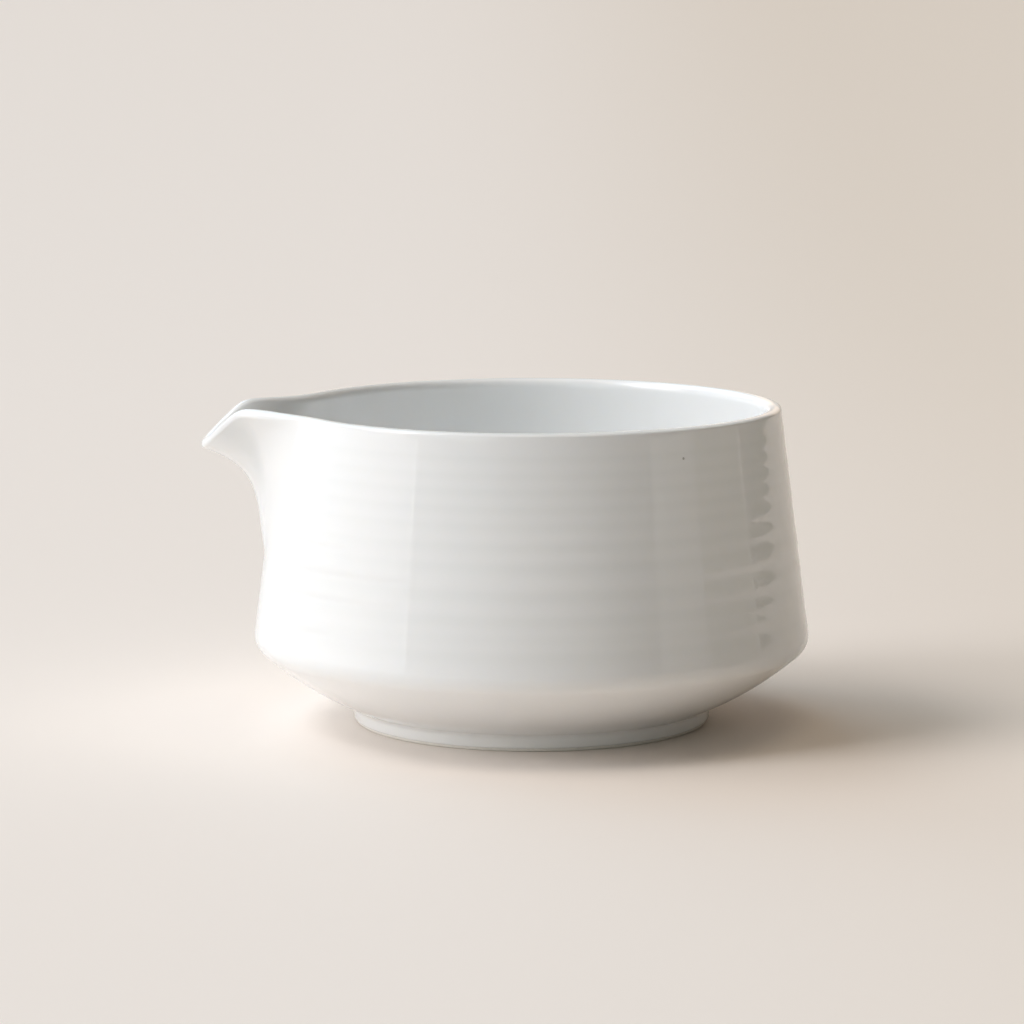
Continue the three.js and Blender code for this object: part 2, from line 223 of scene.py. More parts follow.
class Finish(PropertyGroup):
    """Colours and gloss of the glaze, the clay and the table"""

    glaze: colour_property("Glaze", "Colour of the glaze", (0.93, 0.935, 0.93))
    # Liner: the inner glaze, lighter than the outer glaze as painted light that brightens the inside
    lightened_liner: colour_property("Liner", "Colour of the glaze inside", (0.985, 0.987, 0.98))
    glaze_roughness: share_property("Glaze roughness", "0 is a mirror, 1 is fully matte", 0.03)
    liner_roughness: share_property("Liner roughness", "0 is a mirror, 1 is fully matte", 0.08)
    # Pool: thick glaze near the foot, in a warm tint that is also painted warm bounce light from the table on
    # the underside and foot
    pool: colour_property("Pool", "Colour of thick glaze", (0.985, 0.972, 0.945))
    # Ring tint: glaze gathered in a throwing ring, deepened as painted shade of the ring's relief
    ring: colour_property("Ring", "Tint of the glaze in a ring", (0.977, 0.979, 0.975))
    pool_and_bounce_outside: length_property("Outside pool", "Height up to which the outer coat is thick", 9 * MM)
    pool_inside: length_property("Inside pool", "Height up to which the inner coat is thick", 12 * MM)
    speck: colour_property("Speck", "Colour of the speck", (0.45, 0.43, 0.38))
    speck_radius: length_property("Speck radius", "Radius of the speck", 0.35 * MM)
    speck_place: FloatVectorProperty(
        name="Speck place",
        description="Where the speck lies on the wall",
        subtype="TRANSLATION",
        size=3,
        default=(35.27 * MM, -45.51 * MM, 62.54 * MM),
    )
    clay: colour_property("Clay", "Colour of the bare porcelain", (0.93, 0.89, 0.82))
    clay_roughness: share_property("Clay roughness", "0 is a mirror, 1 is fully matte", 0.8)
    table: colour_property("Table", "Colour of the table", (0.945, 0.87, 0.808))
    # Table in shade: painted shade, the table's colour darkens away from the window between shade start and
    # shade end
    table_shade: colour_property(
        "Table in shade", "Colour of the table away from the window", (0.835, 0.742, 0.65)
    )
    table_roughness: share_property("Table roughness", "0 is a mirror, 1 is fully matte", 0.65)
    beyond: colour_property("Beyond", "Colour seen past the table's edge", (0.72, 0.66, 0.59))
    shade_start: length_property("Shade start", "Where the table darkens", -0.05)
    shade_end: length_property("Shade end", "Where it is darkest", 0.22)


class TableSizes(PropertyGroup):
    """Sizes of the table that the bowl stands on"""

    half_width: length_property("Half width", "Table to each side", 1.2)
    front: length_property("Front", "Table in front of the bowl", 2.0)
    back: length_property("Back", "Level part behind the bowl", 0.55)
    bend: length_property("Bend", "Radius of the upward curve", 3.0)
    slope: angle_property("Slope", "Slope at the back edge", 25)


class Studio(PropertyGroup):
    """Place and lens of the camera"""

    lens: FloatProperty(name="Lens", description="Focal length", default=142.91 * MM, unit="CAMERA")
    distance: length_property("Distance", "Camera to the bowl's axis", 870.1 * MM)
    height: length_property("Height", "Camera above the table", 168.5 * MM)
    aside: length_property("Aside", "Camera to the left of the axis", 4.24 * MM)
    pitch: angle_property("Pitch", "Camera looks down", 8.07)
    turn: angle_property("Turn", "Camera round the bowl towards the beak", 1.33)


def sizes():
    return bpy.context.scene.bowl_sizes


def beak():
    return bpy.context.scene.beak_sizes


def smooth_step(x, low, high):
    t = np.clip((x - low) / (high - low), 0, 1)
    return t * t * (3 - 2 * t)


def smooth_maximum(a, b, softness):
    return (a + b) / 2 + np.hypot((a - b) / 2, softness)


def unit_vectors(vectors):
    return vectors / np.linalg.norm(vectors, axis=-1, keepdims=True)


def circle_crossing(centre, radius, other_centre, other_radius):
    """Where two circles cross, on the left of the line from the first centre to the second"""
    across, up = other_centre[0] - centre[0], other_centre[1] - centre[1]
    span = math.hypot(across, up)
    along = (span**2 + radius**2 - other_radius**2) / (2 * span)
    aside = math.sqrt(radius**2 - along**2)
    return (
        centre[0] + (across * along - up * aside) / span,
        centre[1] + (up * along + across * aside) / span,
    )


class Form:
    """The bowl's surfaces, worked out from its sizes"""

    def __init__(self):
        bowl, spout = sizes(), beak()
        self.bowl = bowl
        self.spout = spout
        self.half_wall = bowl.wall / 2
        self.shoulder = (bowl.body_radius - bowl.shoulder_rounding, bowl.shoulder_height)
        self.lip_height = bowl.rim_height - bowl.lip_inner
        self.rim_radius = self.wall_radius(self.lip_height)
        self.reach = self.rim_radius + spout.overhang
        self.nose_centre = self.reach - spout.nose
        self.fillet_centre = circle_crossing(
            (0, 0), self.rim_radius + spout.fillet, (self.nose_centre, 0), spout.nose + spout.fillet
        )
        self.fillet_angle = math.atan2(self.fillet_centre[1], self.fillet_centre[0])
        self.nose_end = math.atan2(self.fillet_centre[1], self.fillet_centre[0] - self.nose_centre)
        root = (self.wall_radius(spout.root_height), spout.root_height)
        tip = (self.reach, float(self.crest_height(self.reach)))
        flare, fall = spout.root_flare, spout.tip_fall
        self.keel = (
            root,
            (root[0] + spout.root_length * math.sin(flare), root[1] + spout.root_length * math.cos(flare)),
            (tip[0] - spout.tip_length * math.cos(fall), tip[1] - spout.tip_length * math.sin(fall)),
            tip,
        )

    def wall_radius(self, height):
        """Radius of the wall's middle surface on the plain cone"""
        lean = self.bowl.wall_lean
        radius = self.shoulder[0] + self.bowl.shoulder_rounding * math.cos(lean)
        level = self.shoulder[1] + self.bowl.shoulder_rounding * math.sin(lean)
        return radius - math.tan(lean) * (height - level) - self.half_wall / math.cos(lean)

    def lip_plan(self, station):
        """Angle from the beak and distance from the axis of the lip's centre line.
        The station runs 0 to 1 over the nose, 1 to 2 over the fillet and 2 to 3 round the rim."""
        run = np.abs(station)
        nose = self.nose_end * np.clip(run, 0, 1)
        turn = np.clip(run - 1, 0, 1)
        bend = math.pi + self.nose_end + (self.fillet_angle - self.nose_end) * turn
        rest = self.fillet_angle + (math.pi - self.fillet_angle) * np.clip(run - 2, 0, None)
        radius = self.spout.nose
        fillet = self.spout.fillet
        on_nose, on_fillet = run <= 1, run <= 2
        fillet_x = self.fillet_centre[0] + fillet * np.cos(bend)
        fillet_y = self.fillet_centre[1] + fillet * np.sin(bend)
        x = np.where(on_fillet, fillet_x, self.rim_radius * np.cos(rest))
        y = np.where(on_fillet, fillet_y, self.rim_radius * np.sin(rest))
        x = np.where(on_nose, self.nose_centre + radius * np.cos(nose), x)
        y = np.where(on_nose, radius * np.sin(nose), y)
        return np.sign(station) * np.arctan2(y, x), np.hypot(x, y)

    def crest_height(self, reach):
        """The lip rises a little towards the beak and falls at 45 degrees to its tip"""
        spout = self.spout
        level = self.lip_height + spout.rise * smooth_step(reach, self.rim_radius, self.nose_centre)
        cut = self.lip_height - spout.drop + (self.reach - reach)
        return -smooth_maximum(-level, -cut, spout.corner) + spout.corner**2 / (2 * spout.drop)

    def keel_point(self, rise):
        """Radius and height of the keel's middle line, a cubic curve from the beak's root to its tip"""
        rest = 1 - rise
        weights = (rest**3, 3 * rise * rest**2, 3 * rise**2 * rest, rise**3)
        return [sum(w * point[i] for w, point in zip(weights, self.keel)) for i in (0, 1)]

    def keel_shares(self, rise):
        """How far the keel has come from root to tip, outwards from the cone and upwards, each as a share"""
        softness = self.spout.root_softness

        def stand_out(radius, height):
            return math.hypot(radius - self.wall_radius(height), softness) - softness

        point, root, tip = self.keel_point(rise), self.keel[0], self.keel[-1]
        return stand_out(*point) / stand_out(*tip), (point[1] - root[1]) / (tip[1] - root[1])

    def wall_point(self, station, rise):
        """Middle surface of the wall above the beak's root: rise 0 at the root, 1 at the lip's centre line"""
        angle, reach = self.lip_plan(station)
        outward, upward = self.keel_shares(rise)
        top = self.crest_height(reach)
        height = self.spout.root_height + (top - self.spout.root_height) * upward
        radius = self.wall_radius(height) + (reach - self.wall_radius(top)) * outward
        return np.stack([-radius * np.cos(angle), -radius * np.sin(angle), height], -1)

    def wall_frame(self, station, rise):
        """Outward normal of the middle surface, and the direction that carries the wall on upwards"""
        step = NORMAL_STEP
        lower, upper = max(rise - step, 0), min(rise + step, 1)
        along = self.wall_point(station + step, rise) - self.wall_point(station - step, rise)
        up = self.wall_point(station, upper) - self.wall_point(station, lower)
        normal = unit_vectors(np.cross(along, up))
        return normal, unit_vectors(np.cross(normal, along))

    def half_thickness(self, station, rise):
        """Half of the wall's thickness, which changes towards the beak's tip"""
        _, reach = self.lip_plan(station)
        share = np.clip((reach - self.rim_radius) / self.spout.overhang, 0, 1)
        return self.half_wall + (self.spout.lip / 2 - self.half_wall) * share * rise


def column_stations():
    """Stations from the beak's middle round the bowl and back"""
    nose = np.arange(NOSE_COLUMNS) / NOSE_COLUMNS
    fillet = 1 + np.arange(FILLET_COLUMNS) / FILLET_COLUMNS
    rim = 2 + np.arange(RIM_COLUMNS) / RIM_COLUMNS
    half = np.concatenate([nose, fillet, rim])
    return np.concatenate([half, [3.0], -half[:0:-1]])


STATIONS = column_stations()
BEAK_EDGE = NOSE_COLUMNS + FILLET_COLUMNS


def beak_fade(angle):
    """The rings fade towards the beak"""
    rings = bpy.context.scene.throwing_rings
    return smooth_step(np.abs(angle), rings.beak_start, rings.beak_end)


def ring_profile(form, height, middle):
    """How deep a height lies in a ring, as a share of its depth. A ring is wider on its lower side."""
    rings = bpy.context.scene.throwing_rings
    width = rings.width_top + rings.widening * (form.bowl.rim_height - middle)
    side = np.where(height > middle, 1 - rings.skew, 1 + rings.skew)
    return np.exp(-(((height - middle) / (width * side)) ** 2))


def ring_relief(form, height, inset, side):
    """Offset of a row from the plain wall, negative in a throwing ring. Only the outer skin has rings."""
    angle, _ = form.lip_plan(STATIONS)
    if side < 0 or inset > 0:
        return np.zeros_like(angle)
    total = sum(share * ring_profile(form, height, middle * MM) for middle, share, _ in RINGS)
    return -bpy.context.scene.throwing_rings.depth * total * beak_fade(angle)


def mark_ring_glaze_and_shade(piece, form):
    """Stores where the glaze has gathered, in the lower half of each throwing ring, a line darkened further
    as painted shade of the ring's relief
    """
    rings = bpy.context.scene.throwing_rings
    points = np.array([corner.co for corner in piece.data.vertices])
    angle = np.arctan2(-points[:, 1], AXIS_X - points[:, 0])
    total = np.zeros(len(points))
    for middle, _, tone in RINGS:
        darkest = middle * MM - rings.glaze_and_shade_sag
        stretched = darkest + (points[:, 2] - darkest) / rings.glaze_and_shade_width
        total += tone * ring_profile(form, stretched, darkest)
    glaze_and_shade_marks = piece.data.attributes.new("ring", "FLOAT", "POINT")
    glaze_and_shade_marks.data.foreach_set("value", total * beak_fade(angle))


def turned_row(form, radius, height):
    """Row of a turned surface. The radius is one number, or one for each station."""
    angle, _ = form.lip_plan(STATIONS)
    level = np.full_like(angle, height)
    return np.stack([-radius * np.cos(angle), -radius * np.sin(angle), level], -1)


def wall_row(form, rise, inset, side):
    """Row of the wall above the beak's root. The side is 1 outside and -1 inside."""
    normal, _ = form.wall_frame(STATIONS, rise)
    point = form.wall_point(STATIONS, rise)
    depth = form.half_thickness(STATIONS, rise) - inset + ring_relief(form, point[:, 2], inset, side)
    return point + side * normal * depth[:, None]


def lip_row(form, side, turn, inset):
    """Row of the lip's section, a quarter ellipse from the wall at turn 0 to the crest at 90 degrees"""
    normal, onward = form.wall_frame(STATIONS, 1)
    half = form.half_thickness(STATIONS, 1)[:, None]
    crest = form.bowl.lip_inner * half / form.half_wall
    rounding = form.bowl.lip_outer if side > 0 else crest
    out = side * (half - inset) * math.cos(turn)
    up = crest - rounding + (rounding - inset) * math.sin(turn)
    return form.wall_point(STATIONS, 1) + normal * out + onward * up


def crest_row(form, inset):
    return lip_row(form, 1, math.pi / 2, inset)


def arc(centre, radius, start, end, rows):
    turns = np.linspace(start, end, rows + 1)
    return [(centre[0] + radius * math.cos(t), centre[1] + radius * math.sin(t)) for t in turns]


def outer_profile(form, depth):
    """Outer profile from the foot to the wall's start, at a depth under the skin"""
    bowl = form.bowl
    corner = (bowl.foot_radius + bowl.foot_fillet, bowl.foot_height)
    belly_radius = bowl.underside_rounding
    belly = circle_crossing(
        corner, belly_radius + bowl.foot_fillet, form.shoulder, belly_radius - bowl.shoulder_rounding
    )
    start = math.atan2(corner[1] - belly[1], corner[0] - belly[0])
    end = math.atan2(form.shoulder[1] - belly[1], form.shoulder[0] - belly[0])
    fillet = arc(corner, bowl.foot_fillet + depth, math.pi, start + math.pi, ARC_ROWS)
    underside = arc(belly, belly_radius - depth, start, end, BELLY_ROWS)
    shoulder = arc(form.shoulder, bowl.shoulder_rounding - depth, end, bowl.wall_lean, ARC_ROWS)
    return fillet + underside[1:] + shoulder[1:]


def inner_corner(form):
    """Centre of the rounding below the inner wall"""
    bowl = form.bowl
    height = bowl.shoulder_height + bowl.corner_lift
    face = form.wall_radius(height) - form.half_wall / math.cos(bowl.wall_lean)
    return face - bowl.inner_corner / math.cos(bowl.wall_lean), height


def inner_profile(form, depth):
    """Inner profile from the wall down to the flat of the floor, at a depth under the skin"""
    bowl = form.bowl
    rounding = bowl.inner_corner
    floor_height = bowl.well_depth + bowl.floor
    corner = inner_corner(form)
    across, above = corner[0] - bowl.floor_radius, corner[1] - floor_height
    dish_rounding = (across**2 + above**2 - rounding**2) / (2 * (above - rounding))
    dish = (bowl.floor_radius, floor_height + dish_rounding)
    turn = math.atan2(corner[1] - dish[1], corner[0] - dish[0])
    upper = arc(corner, rounding + depth, bowl.wall_lean, turn, ARC_ROWS)
    lower = arc(dish, dish_rounding + depth, turn, -math.pi / 2, BELLY_ROWS)
    return upper + lower[1:]


def plain_wall_rows(form, inset, side):
    """Rows of the cone between the turned profile and the beak's root"""
    bowl = form.bowl
    lean = bowl.wall_lean
    start = form.shoulder[1] + bowl.shoulder_rounding * math.sin(lean)
    if side < 0:
        start = inner_corner(form)[1] + bowl.inner_corner * math.sin(lean)
    offset = side * (form.half_wall - inset)
    lift = offset * math.sin(lean)
    rows = []
    for height in np.linspace(start, form.spout.root_height + lift, CONE_ROWS)[1:-1]:
        radius = form.wall_radius(height - lift) + offset * math.cos(lean)
        rows.append(turned_row(form, radius + ring_relief(form, height, inset, side), height))
    return rows


def face_rows(form, inset, side):
    """Rows of one face up to just below the crest: those under the beak's root, and those above it"""
    profile = outer_profile(form, inset) if side > 0 else inner_profile(form, inset)[::-1]
    rows = [turned_row(form, *point) for point in profile]
    rows += plain_wall_rows(form, inset, side)
    beak_rows = [wall_row(form, rise, inset, side) for rise in np.linspace(0, 1, WALL_ROWS)[:-1]]
    turns = np.linspace(0, math.pi / 2, LIP_ROWS + 1)[:-1]
    return rows, beak_rows + [lip_row(form, side, turn, inset) for turn in turns]


class Skin:
    """Gathers rows of points and the quads between them, and turns them into one mesh object"""

    def __init__(self):
        self.points = []
        self.faces = []
        self.index = {}

    def row(self, points):
        """Numbers of a row's points, which are added the first time"""
        key = id(points)
        if key not in self.index:
            start = len(self.points)
            self.points.extend(map(tuple, points))
            self.index[key] = (points, np.arange(start, start + len(points)))
        return self.index[key][1]

    def join(self, first, second, keep=None):
        """Quads between two rows, in the columns to keep"""
        a, b = self.row(first), self.row(second)
        for column in range(len(a)):
            after = (column + 1) % len(a)
            if keep is None or keep(column):
                self.faces.append((a[column], a[after], b[after], b[column]))

    def chain(self, rows):
        for first, second in zip(rows, rows[1:]):
            self.join(first, second)

    def cap(self, row, facing_up):
        """Fan of faces from a row to the axis"""
        ring = list(self.row(row))
        self.points.append((0.0, 0.0, float(row[0][2])))
        pole = len(self.points) - 1
        for column, corner in enumerate(ring):
            after = ring[(column + 1) % len(ring)]
            self.faces.append((pole, corner, after) if facing_up else (pole, after, corner))

    def drop_loose(self):
        """Drops the points that no face uses"""
        used = sorted({index for face in self.faces for index in face})
        place = {old: new for new, old in enumerate(used)}
        self.points = [self.points[index] for index in used]
        self.faces = [tuple(place[index] for index in face) for face in self.faces]

    def make(self, name, node, material):
        mesh = bpy.data.meshes.new(name)
        points = [(x + AXIS_X, y, z) for x, y, z in self.points]
        faces = [tuple(int(i) for i in face) for face in self.faces]
        mesh.from_pydata(points, [], faces)
        if mesh.validate():
            raise RuntimeError(f"{name} has faces that don't fit together")
        mesh.shade_smooth()
        mesh.set_sharp_from_angle(angle=SHARP_EDGE)
        piece = bpy.data.objects.new(name, mesh)
        bpy.context.scene.collection.objects.link(piece)
        piece.data.materials.append(material)
        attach(piece, BODY)
        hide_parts(node)
        return piece


def set_inputs(tree, node, inputs):
    """Sets a node's inputs, by name or number, or links them to the outputs of other nodes"""
    for label, value in inputs.items():
        if isinstance(value, bpy.types.NodeSocket):
            tree.links.new(value, node.inputs[label])
        else:
            node.inputs[label].default_value = value


def add_node(tree, kind, inputs, **settings):
    """Adds a node, and sets first the node and then its inputs"""
    node = tree.nodes.new(kind)
    for label, value in settings.items():
        setattr(node, label, value)
    set_inputs(tree, node, inputs)
    return node


def math_node(tree, operation, *values):
    """Adds one math node to a tree and returns its output"""
    return add_node(tree, "ShaderNodeMath", dict(enumerate(values)), operation=operation).outputs["Value"]


def ramp(tree, value, start, end, low, high, curve="LINEAR"):
    """Adds a ramp from low at the start to high at the end, and returns its output"""
    ends = {"Value": value, "From Min": start, "From Max": end, "To Min": low, "To Max": high}
    return add_node(tree, "ShaderNodeMapRange", ends, interpolation_type=curve).outputs["Result"]


def noise(tree, place, scale, detail):
    """Adds a cloudy pattern and returns its output"""
    pattern = {"Vector": place, "Scale": scale, "Detail": detail}
    return add_node(tree, "ShaderNodeTexNoise", pattern).outputs["Fac"]


def bump(tree, relief, strength, height):
    """Adds a fine relief and returns its normal"""
    surface = {"Height": relief, "Strength": strength, "Distance": height}
    return add_node(tree, "ShaderNodeBump", surface).outputs["Normal"]


def mix_colours(tree, factor, first, second, blend="MIX"):
    """Adds a mix of two colours and returns its output"""
    parts = {"Factor": factor, "A": first, "B": second}
    return add_node(tree, "ShaderNodeMix", parts, data_type="RGBA", blend_type=blend).outputs["Result"]


def new_material(name):
    """A new material, its node tree and its shader"""
    material = bpy.data.materials.new(name)
    material.use_nodes = True
    return material, material.node_tree, material.node_tree.nodes["Principled BSDF"]


def glaze_tone_group():
    """Glaze tint, deeper where the coat lies thick near the foot, which outside is also painted warm bounce
    light from the table, and in faint clouds, and a faint relief
    """
    name = "Glaze Tone"
    if name in bpy.data.node_groups:
        return bpy.data.node_groups[name]
    group = bpy.data.node_groups.new(name, "ShaderNodeTree")
    face = group.interface
    face.new_socket("Colour", in_out="INPUT", socket_type="NodeSocketColor")
    face.new_socket("Pool Colour", in_out="INPUT", socket_type="NodeSocketColor")
    face.new_socket("Pool Height", in_out="INPUT", socket_type="NodeSocketFloat")
    face.new_socket("Tone", in_out="OUTPUT", socket_type="NodeSocketColor")
    face.new_socket("Relief", in_out="OUTPUT", socket_type="NodeSocketFloat")
    given = group.nodes.new("NodeGroupInput").outputs
    place = group.nodes.new("ShaderNodeTexCoord").outputs["Object"]
    height = add_node(group, "ShaderNodeSeparateXYZ", {"Vector": place}).outputs["Z"]
    # Warmer towards the bottom: thick glaze, and outside also painted warm bounce light from the table
    depth = ramp(group, height, 0, given["Pool Height"], 1, 0)
    clouds = noise(group, place, CLOUD_SCALE, CLOUD_DETAIL)
    patches = ramp(group, clouds, CLOUD_START, CLOUD_END, 0, CLOUD_SHARE)
    pool = math_node(group, "MAXIMUM", depth, patches)
    tone = mix_colours(group, pool, given["Colour"], given["Pool Colour"])
    ripple = noise(group, place, RIPPLE_SCALE, RIPPLE_DETAIL)
    add_node(group, "NodeGroupOutput", {"Tone": tone, "Relief": ripple})
    return group


def glaze_material(name, colour, pool_and_bounce_height, roughness):
    """Clear glossy glaze over white porcelain"""
    material, tree, shader = new_material(name)
    # The pool tint near the foot is partly painted warm bounce light from the table
    pool_and_bounce_colour = (*bpy.context.scene.finish.pool, 1)
    coat = {"Colour": (*colour, 1), "Pool Colour": pool_and_bounce_colour, "Pool Height": pool_and_bounce_height}
    tone = add_node(tree, "ShaderNodeGroup", coat, node_tree=glaze_tone_group())
    look = {
        "Base Color": tone.outputs["Tone"],
        "Normal": bump(tree, tone.outputs["Relief"], RIPPLE_STRENGTH, RIPPLE_HEIGHT),
        "Roughness": roughness,
        "IOR": GLAZE_IOR,
        "Subsurface Weight": GLOW,
        "Subsurface Radius": GLOW_COLOUR,
        "Subsurface Scale": GLOW_DEPTH,
    }
    set_inputs(tree, shader, look)
    return material


def stain(material, mask, colour, blend="MIX"):
    """Mixes a colour into a material's base colour where the mask shows"""
    tree = material.node_tree
    base = tree.nodes["Principled BSDF"].inputs["Base Color"]
    tree.links.new(mix_colours(tree, mask, base.links[0].from_socket, (*colour, 1), blend), base)


def add_ring_glaze_and_shade(material, colour):
    """Glaze that has gathered in the throwing rings, darkened further as painted shade of their relief"""
    mark = add_node(material.node_tree, "ShaderNodeAttribute", {}, attribute_name="ring")
    stain(material, mark.outputs["Fac"], colour, "MULTIPLY")


def add_speck(material, place, radius, colour):
    """Small iron speck that has burnt into the glaze"""
    tree = material.node_tree
    here = tree.nodes.new("ShaderNodeTexCoord").outputs["Object"]
    away = add_node(tree, "ShaderNodeVectorMath", {0: here, 1: place}, operation="DISTANCE")
    spot = ramp(tree, away.outputs["Value"], radius / 2, radius, 1, 0, "SMOOTHSTEP")
    stain(material, spot, colour)


def clay_material():
    """Bare fired porcelain: matte, faintly toasted and grainy"""
    name = "bare porcelain"
    if name in bpy.data.materials:
        return bpy.data.materials[name]
    finish = bpy.context.scene.finish
    material, tree, shader = new_material(name)
    place = tree.nodes.new("ShaderNodeTexCoord").outputs["Object"]
    grain = noise(tree, place, GRAIN_SCALE, GRAIN_DETAIL)
    toasted = [GRAIN_DARKNESS * value for value in finish.clay]
    look = {
        "Base Color": mix_colours(tree, grain, (*finish.clay, 1), (*toasted, 1)),
        "Normal": bump(tree, grain, GRAIN_STRENGTH, GRAIN_HEIGHT),
        "Roughness": finish.clay_roughness,
    }
    set_inputs(tree, shader, look)
    return material


def outer_material():
    """Glaze outside, with tone and painted shade in the rings, and one speck"""
    name = "outer glaze"
    if name in bpy.data.materials:
        return bpy.data.materials[name]
    finish = bpy.context.scene.finish
    material = glaze_material(name, finish.glaze, finish.pool_and_bounce_outside, finish.glaze_roughness)
    add_ring_glaze_and_shade(material, finish.ring)
    add_speck(material, finish.speck_place, finish.speck_radius, finish.speck)
    return material


def inner_material():
    finish = bpy.context.scene.finish
    # Lighter than the outer glaze: painted light on the inside
    return glaze_material("inner glaze", finish.lightened_liner, finish.pool_inside, finish.liner_roughness)


def seat_height():
    """Height where the foot ring meets the bowl"""
    return sizes().well_depth + sizes().glaze


def clay_side():
    """Outer radius of the foot's clay"""
    return sizes().foot_radius - sizes().glaze


def well_radius():
    """Inner radius of the foot's clay"""
    return sizes().foot_radius - sizes().foot_width


def lower_edge(form, radius_at, height):
    """Rows of the rounded edge where a coat of glaze ends on the foot"""
    glaze = form.bowl.glaze
    turns = np.linspace(0, math.pi / 2, EDGE_ROWS + 1)
    points = [(radius_at(glaze * math.cos(t)), height - glaze * math.sin(t) + glaze) for t in turns]
    return [turned_row(form, *point) for point in points]


class BOWL_OT_outer_glaze(Operator):
    """Coat of glaze on the outside of wall, beak and foot"""

    bl_idname = "bowl.outer_glaze"
    bl_label = "Outer Glaze"

    def execute(self, context):
        form = Form()
        bowl = form.bowl
        skin = Skin()
        low, high = face_rows(form, 0, 1)
        under_low, under_high = face_rows(form, bowl.glaze, 1)
        edge = lower_edge(form, lambda out: clay_side() + out, bowl.bare_height)
        foot_skin = [turned_row(form, bowl.foot_radius, seat_height())]
        foot_clay = [turned_row(form, clay_side(), seat_height())]
        face = edge[::-1] + foot_skin + low + high + [crest_row(form, 0)]
        back = foot_clay + under_low + under_high + [crest_row(form, bowl.glaze)]
        skin.chain(face + back[::-1] + [face[0]])
        piece = skin.make("outer_glaze_coat", "outer_glaze", outer_material())
        mark_ring_glaze_and_shade(piece, form)
        return {"FINISHED"}


class BOWL_OT_inner_glaze(Operator):
    """Coat of glaze on the inside, from the crest of the lip to the floor"""

    bl_idname = "bowl.inner_glaze"
    bl_label = "Inner Glaze"

    def execute(self, context):
        form = Form()
        skin = Skin()
        low, high = face_rows(form, 0, -1)
        under_low, under_high = face_rows(form, form.bowl.glaze, -1)
        face = low + high + [crest_row(form, 0)]
        back = under_low + under_high + [crest_row(form, form.bowl.glaze)]
        skin.cap(back[0], False)
        skin.chain(back + face[::-1])
        skin.cap(face[0], True)
        skin.make("inner_glaze_coat", "inner_glaze", inner_material())
        return {"FINISHED"}


class BOWL_OT_foot_well_glaze(Operator):
    """Island of glaze inside the foot ring"""

    bl_idname = "bowl.foot_well_glaze"
    bl_label = "Foot Well Glaze"

    def execute(self, context):
        form = Form()
        bowl = form.bowl
        skin = Skin()
        inside = well_radius() - bowl.glaze
        back = [turned_row(form, well_radius(), seat_height())]
        edge = lower_edge(form, lambda out: well_radius() - out, bowl.bare_height)[::-1]
        rounding = bowl.well_rounding
        centre = (inside - rounding, bowl.well_depth - rounding)
        hollow = [turned_row(form, *point) for point in arc(centre, rounding, 0, math.pi / 2, ARC_ROWS)]
        rows = back + edge + hollow
        skin.cap(rows[-1], False)
        skin.chain(rows[::-1])
        skin.cap(rows[0], True)
        skin.make("foot_well_coat", "foot_well_glaze", outer_material())
        return {"FINISHED"}


def is_beak(column):
    return column < BEAK_EDGE or column >= len(STATIONS) - BEAK_EDGE


def clay_rows(form):
    """Rows of the clay under the glaze, outside and inside, which meet in the row on the crest"""
    glaze = form.bowl.glaze
    outer_low, outer = face_rows(form, glaze, 1)
    inner_low, inner = face_rows(form, glaze, -1)
    crest = crest_row(form, glaze)
    return outer_low, outer + [crest], inner_low, inner + [crest]


def wall_faces(skin, outer, inner, keep):
    """Faces of the clay wall, outside and inside, in the columns to keep"""
    for i in range(len(outer) - 1):
        skin.join(outer[i], outer[i + 1], keep)
        skin.join(inner[i + 1], inner[i], keep)


def notch_faces(skin, outer, inner, outward):
    """Faces where bowl and beak meet in the notch, facing out of the bowl's clay or out of the beak's"""
    far = len(STATIONS) - BEAK_EDGE

    def add(corners):
        corners = tuple(dict.fromkeys(corners))
        skin.faces.append(corners if outward else corners[::-1])

    for i in range(len(outer) - 1):
        a, b = skin.row(outer[i]), skin.row(inner[i])
        c, d = skin.row(inner[i + 1]), skin.row(outer[i + 1])
        add((d[BEAK_EDGE], c[BEAK_EDGE], b[BEAK_EDGE], a[BEAK_EDGE]))
        add((a[far], b[far], c[far], d[far]))
    top, under = skin.row(outer[0]), skin.row(inner[0])
    for column in range(far, len(STATIONS) + BEAK_EDGE):
        here, after = column % len(STATIONS), (column + 1) % len(STATIONS)
        add((top[here], top[after], under[after], under[here]))


class BOWL_OT_clay_bowl(Operator):
    """Thrown bowl under the glaze, with the notch that the beak is luted over"""

    bl_idname = "bowl.clay_bowl"
    bl_label = "Clay Bowl"

    def execute(self, context):
        form = Form()
        skin = Skin()
        outer_low, outer, inner_low, inner = clay_rows(form)
        seat = turned_row(form, clay_side(), seat_height())
        skin.cap(seat, False)
        skin.chain([seat] + outer_low + [outer[0]])
        skin.chain([inner[0]] + inner_low[::-1])
        skin.cap(inner_low[0], True)
        wall_faces(skin, outer, inner, lambda column: not is_beak(column))
        notch_faces(skin, outer, inner, True)
        skin.make("thrown_bowl", "bowl_body", clay_material())
        return {"FINISHED"}


class BOWL_OT_clay_spout(Operator):
    """Beak under the glaze"""

    bl_idname = "bowl.clay_spout"
    bl_label = "Clay Spout"

    def execute(self, context):
        skin = Skin()
        _, outer, _, inner = clay_rows(Form())
        wall_faces(skin, outer, inner, is_beak)
        notch_faces(skin, outer, inner, False)
        skin.drop_loose()
        skin.make("luted_spout", "spout", clay_material())
        return {"FINISHED"}


